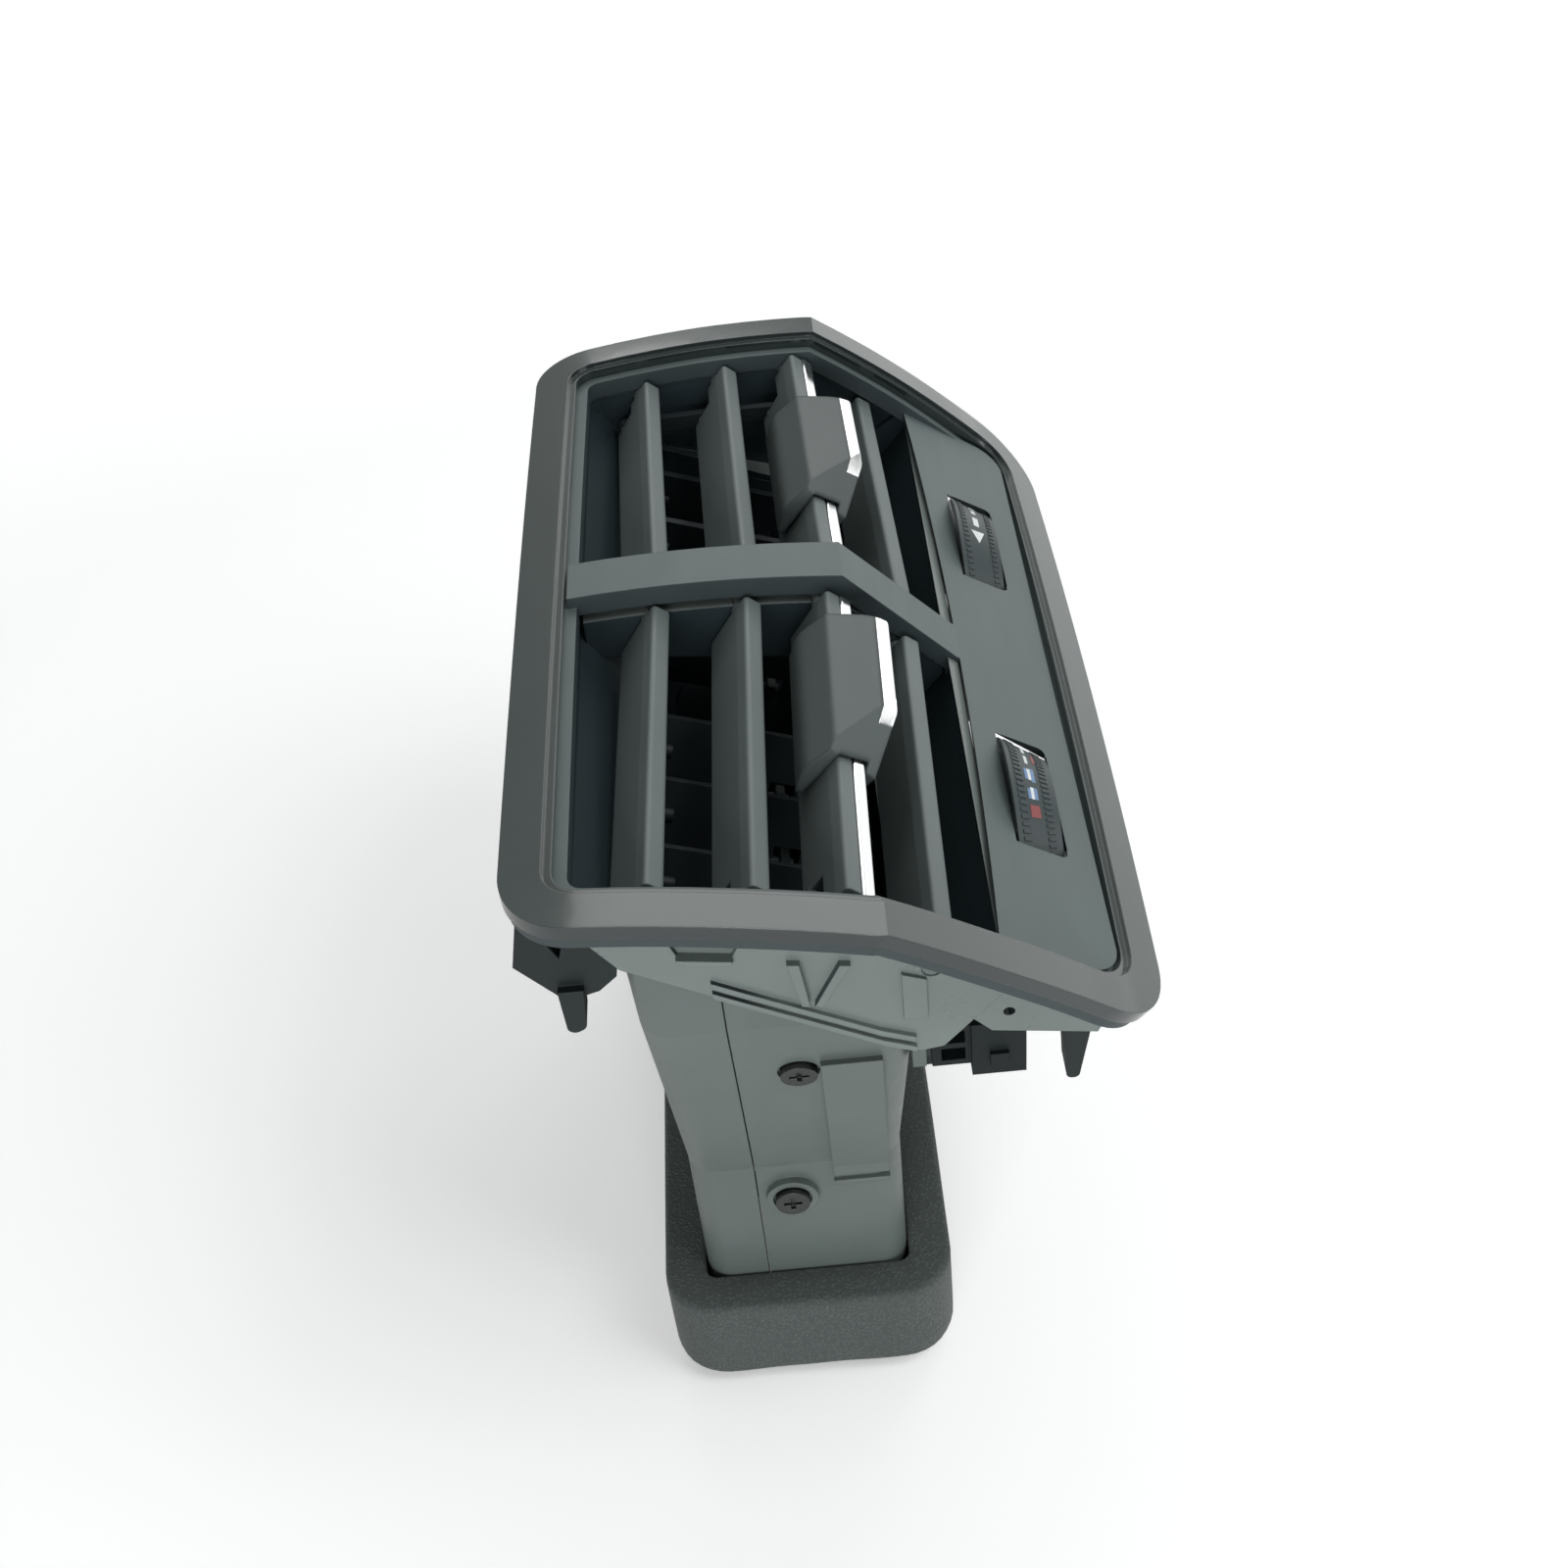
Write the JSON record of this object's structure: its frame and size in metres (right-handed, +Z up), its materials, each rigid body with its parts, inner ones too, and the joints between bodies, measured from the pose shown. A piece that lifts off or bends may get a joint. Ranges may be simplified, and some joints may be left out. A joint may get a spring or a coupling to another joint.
{
  "type": "rear console air vent",
  "caption": "Rear console air vent with tilting louvres, sliding knobs, two thumbwheels and a tapering air duct.",
  "frame": {"origin": "centre of the duct mouth, in the plane of its open end", "axes": "+Z up along the duct, +Y across the vent, +X down the face towards the control panel"},
  "size_m": [0.0986, 0.17, 0.1394],
  "materials": {
    "gloss_frame": "gloss",
    "grained_face": "fine grain",
    "louvre_grey": "satin",
    "black_housing": "semi-gloss",
    "clip_black": "semi-gloss",
    "grey_duct": "satin",
    "vane_black": "satin",
    "link_black": "satin",
    "wheel_black": "satin",
    "connector_black": "satin",
    "contact_metal": "plated",
    "dark_steel": "blackened",
    "bright_trim": "polished",
    "foam": "open cell"
  },
  "bodies": {
    "vent_body": {"bezel": "gloss_frame", "faceplate": "grained_face", "upper_housing": "black_housing", "duct_left_shell": "grey_duct", "duct_right_shell": "grey_duct", "foam_seal": "foam", "duct_screws": "dark_steel", "wheel_carrier_far": "black_housing", "wheel_carrier_near": "black_housing", "connector": "connector_black", "connector_pins": "contact_metal", "clip_left_far": "clip_black", "clip_left_near": "clip_black", "clip_right_far": "clip_black", "clip_right_near": "clip_black"},
    "louvre_far_1": {"louvre_far_1": "louvre_grey"},
    "louvre_far_2": {"louvre_far_2": "louvre_grey"},
    "louvre_far_3": {"louvre_far_3": "louvre_grey", "louvre_trim_far": "bright_trim"},
    "louvre_far_4": {"louvre_far_4": "louvre_grey"},
    "louvre_link_far": {"louvre_link_far": "link_black"},
    "knob_far": {"knob_far": "louvre_grey", "knob_trim_far": "bright_trim"},
    "vane_far_1": {"vane_far_1": "vane_black"},
    "vane_far_2": {"vane_far_2": "vane_black"},
    "vane_far_3": {"vane_far_3": "vane_black"},
    "vane_far_4": {"vane_far_4": "vane_black"},
    "vane_link_far": {"vane_link_far": "link_black"},
    "louvre_near_1": {"louvre_near_1": "louvre_grey"},
    "louvre_near_2": {"louvre_near_2": "louvre_grey"},
    "louvre_near_3": {"louvre_near_3": "louvre_grey", "louvre_trim_near": "bright_trim"},
    "louvre_near_4": {"louvre_near_4": "louvre_grey"},
    "louvre_link_near": {"louvre_link_near": "link_black"},
    "knob_near": {"knob_near": "louvre_grey", "knob_trim_near": "bright_trim"},
    "vane_near_1": {"vane_near_1": "vane_black"},
    "vane_near_2": {"vane_near_2": "vane_black"},
    "vane_near_3": {"vane_near_3": "vane_black"},
    "vane_near_4": {"vane_near_4": "vane_black"},
    "vane_link_near": {"vane_link_near": "link_black"},
    "volume_wheel": {"volume_wheel": "wheel_black"},
    "temperature_wheel": {"temperature_wheel": "wheel_black"},
    "flap_far": {"flap_far": "link_black"},
    "flap_near": {"flap_near": "link_black"},
    "flap_rod": {"flap_rod": "link_black"},
    "flap_tie": {"flap_tie": "link_black"}
  },
  "joints": [
    {"name": "louvre_far_1_tilt", "type": "hinge", "parent": "vent_body", "child": "louvre_far_1", "pos_m": [-0.01594, 0.03772, 0.13131], "axis": [-0.0255, 0.9993, -0.0255], "range_deg": [-38, 2]},
    {"name": "louvre_far_2_tilt", "type": "hinge", "parent": "vent_body", "child": "louvre_far_2", "pos_m": [-0.00059, 0.03812, 0.13161], "axis": [-0.0255, 0.9993, -0.0255], "range_deg": [-38, 2]},
    {"name": "louvre_far_3_tilt", "type": "hinge", "parent": "vent_body", "child": "louvre_far_3", "pos_m": [0.01285, 0.03846, 0.13141], "axis": [-0.0255, 0.9993, -0.0255], "range_deg": [-38, 2]},
    {"name": "louvre_far_4_tilt", "type": "hinge", "parent": "vent_body", "child": "louvre_far_4", "pos_m": [0.02526, 0.0385, 0.12052], "axis": [-0.0255, 0.9993, -0.0255], "range_deg": [-38, 2]},
    {"name": "louvre_link_far_turn", "type": "hinge", "parent": "louvre_far_3", "child": "louvre_link_far", "pos_m": [0.00829, 0.06753, 0.12604], "axis": [-0.0255, 0.9993, -0.0255], "range_deg": [-2, 38]},
    {"name": "knob_far_slide", "type": "slide", "parent": "louvre_far_3", "child": "knob_far", "axis": [-0.0255, 0.9993, -0.0255], "range_m": [-0.0095, 0.0125]},
    {"name": "vane_far_1_swing", "type": "hinge", "parent": "vent_body", "child": "vane_far_1", "pos_m": [0.001, 0.0143, 0.1059], "axis": [-0.9397, 0, 0.342], "range_deg": [-28.5, 37.5]},
    {"name": "vane_far_2_swing", "type": "hinge", "parent": "vent_body", "child": "vane_far_2", "pos_m": [0.001, 0.0303, 0.1059], "axis": [-0.9397, 0, 0.342], "range_deg": [-28.5, 37.5]},
    {"name": "vane_far_3_swing", "type": "hinge", "parent": "vent_body", "child": "vane_far_3", "pos_m": [0.001, 0.0463, 0.1059], "axis": [-0.9397, 0, 0.342], "range_deg": [-28.5, 37.5]},
    {"name": "vane_far_4_swing", "type": "hinge", "parent": "vent_body", "child": "vane_far_4", "pos_m": [0.001, 0.0623, 0.1059], "axis": [-0.9397, 0, 0.342], "range_deg": [-28.5, 37.5]},
    {"name": "vane_link_far_turn", "type": "hinge", "parent": "vane_far_1", "child": "vane_link_far", "pos_m": [0.00311, 0.01472, 0.0994], "axis": [-0.9397, 0, 0.342], "range_deg": [-37.5, 28.5]},
    {"name": "louvre_near_1_tilt", "type": "hinge", "parent": "vent_body", "child": "louvre_near_1", "pos_m": [-0.01594, -0.03772, 0.13131], "axis": [0.0255, 0.9993, 0.0255], "range_deg": [-38, 2]},
    {"name": "louvre_near_2_tilt", "type": "hinge", "parent": "vent_body", "child": "louvre_near_2", "pos_m": [-0.00059, -0.03812, 0.13161], "axis": [0.0255, 0.9993, 0.0255], "range_deg": [-38, 2]},
    {"name": "louvre_near_3_tilt", "type": "hinge", "parent": "vent_body", "child": "louvre_near_3", "pos_m": [0.01285, -0.03846, 0.13141], "axis": [0.0255, 0.9993, 0.0255], "range_deg": [-38, 2]},
    {"name": "louvre_near_4_tilt", "type": "hinge", "parent": "vent_body", "child": "louvre_near_4", "pos_m": [0.02526, -0.0385, 0.12052], "axis": [0.0255, 0.9993, 0.0255], "range_deg": [-38, 2]},
    {"name": "louvre_link_near_turn", "type": "hinge", "parent": "louvre_near_3", "child": "louvre_link_near", "pos_m": [0.00829, -0.06753, 0.12604], "axis": [0.0255, 0.9993, 0.0255], "range_deg": [-2, 38]},
    {"name": "knob_near_slide", "type": "slide", "parent": "louvre_near_3", "child": "knob_near", "axis": [-0.0255, -0.9993, -0.0255], "range_m": [-0.0038, 0.0182]},
    {"name": "vane_near_1_swing", "type": "hinge", "parent": "vent_body", "child": "vane_near_1", "pos_m": [0.001, -0.0143, 0.1059], "axis": [0.9397, 0, -0.342], "range_deg": [-11.4, 54.6]},
    {"name": "vane_near_2_swing", "type": "hinge", "parent": "vent_body", "child": "vane_near_2", "pos_m": [0.001, -0.0303, 0.1059], "axis": [0.9397, 0, -0.342], "range_deg": [-11.4, 54.6]},
    {"name": "vane_near_3_swing", "type": "hinge", "parent": "vent_body", "child": "vane_near_3", "pos_m": [0.001, -0.0463, 0.1059], "axis": [0.9397, 0, -0.342], "range_deg": [-11.4, 54.6]},
    {"name": "vane_near_4_swing", "type": "hinge", "parent": "vent_body", "child": "vane_near_4", "pos_m": [0.001, -0.0623, 0.1059], "axis": [0.9397, 0, -0.342], "range_deg": [-11.4, 54.6]},
    {"name": "vane_link_near_turn", "type": "hinge", "parent": "vane_near_1", "child": "vane_link_near", "pos_m": [0.00323, -0.01629, 0.09975], "axis": [0.9397, 0, -0.342], "range_deg": [-54.6, 11.4]},
    {"name": "volume_wheel_turn", "type": "hinge", "parent": "vent_body", "child": "volume_wheel", "pos_m": [0.0447, 0.0353, 0.0974], "axis": [1, 0, 0], "range_deg": [0, 84]},
    {"name": "flap_rod_turn", "type": "hinge", "parent": "volume_wheel", "child": "flap_rod", "pos_m": [0.0342, 0.04308, 0.08827], "axis": [1, 0, 0], "range_deg": [-84, 0]},
    {"name": "flap_far_turn", "type": "hinge", "parent": "vent_body", "child": "flap_far", "pos_m": [0, 0.0306, 0.062], "axis": [1, 0, 0], "range_deg": [0, 84]},
    {"name": "flap_near_turn", "type": "hinge", "parent": "vent_body", "child": "flap_near", "pos_m": [0, -0.0306, 0.062], "axis": [1, 0, 0], "range_deg": [0, 84]},
    {"name": "flap_tie_turn", "type": "hinge", "parent": "flap_far", "child": "flap_tie", "pos_m": [0.0276, 0.02391, 0.05457], "axis": [1, 0, 0], "range_deg": [-84, 0]},
    {"name": "temperature_wheel_turn", "type": "hinge", "parent": "vent_body", "child": "temperature_wheel", "pos_m": [0.0447, -0.0353, 0.0974], "axis": [1, 0, 0], "range_deg": [-42, 42]}
  ],
  "couplings": [
    {"joint": "louvre_far_1_tilt", "follows": "louvre_far_3_tilt", "ratio": 1},
    {"joint": "louvre_far_2_tilt", "follows": "louvre_far_3_tilt", "ratio": 1},
    {"joint": "louvre_far_4_tilt", "follows": "louvre_far_3_tilt", "ratio": 1},
    {"joint": "louvre_link_far_turn", "follows": "louvre_far_3_tilt", "ratio": -1},
    {"joint": "vane_far_1_swing", "follows": "knob_far_slide", "rad_per_m": 52.36},
    {"joint": "vane_far_2_swing", "follows": "knob_far_slide", "rad_per_m": 52.36},
    {"joint": "vane_far_3_swing", "follows": "knob_far_slide", "rad_per_m": 52.36},
    {"joint": "vane_far_4_swing", "follows": "knob_far_slide", "rad_per_m": 52.36},
    {"joint": "vane_link_far_turn", "follows": "knob_far_slide", "rad_per_m": -52.36},
    {"joint": "louvre_near_1_tilt", "follows": "louvre_near_3_tilt", "ratio": 1},
    {"joint": "louvre_near_2_tilt", "follows": "louvre_near_3_tilt", "ratio": 1},
    {"joint": "louvre_near_4_tilt", "follows": "louvre_near_3_tilt", "ratio": 1},
    {"joint": "louvre_link_near_turn", "follows": "louvre_near_3_tilt", "ratio": -1},
    {"joint": "vane_near_1_swing", "follows": "knob_near_slide", "rad_per_m": 52.36},
    {"joint": "vane_near_2_swing", "follows": "knob_near_slide", "rad_per_m": 52.36},
    {"joint": "vane_near_3_swing", "follows": "knob_near_slide", "rad_per_m": 52.36},
    {"joint": "vane_near_4_swing", "follows": "knob_near_slide", "rad_per_m": 52.36},
    {"joint": "vane_link_near_turn", "follows": "knob_near_slide", "rad_per_m": -52.36},
    {"joint": "flap_rod_turn", "follows": "volume_wheel_turn", "ratio": -1},
    {"joint": "flap_far_turn", "follows": "volume_wheel_turn", "ratio": 1},
    {"joint": "flap_near_turn", "follows": "volume_wheel_turn", "ratio": 1},
    {"joint": "flap_tie_turn", "follows": "volume_wheel_turn", "ratio": -1}
  ]
}
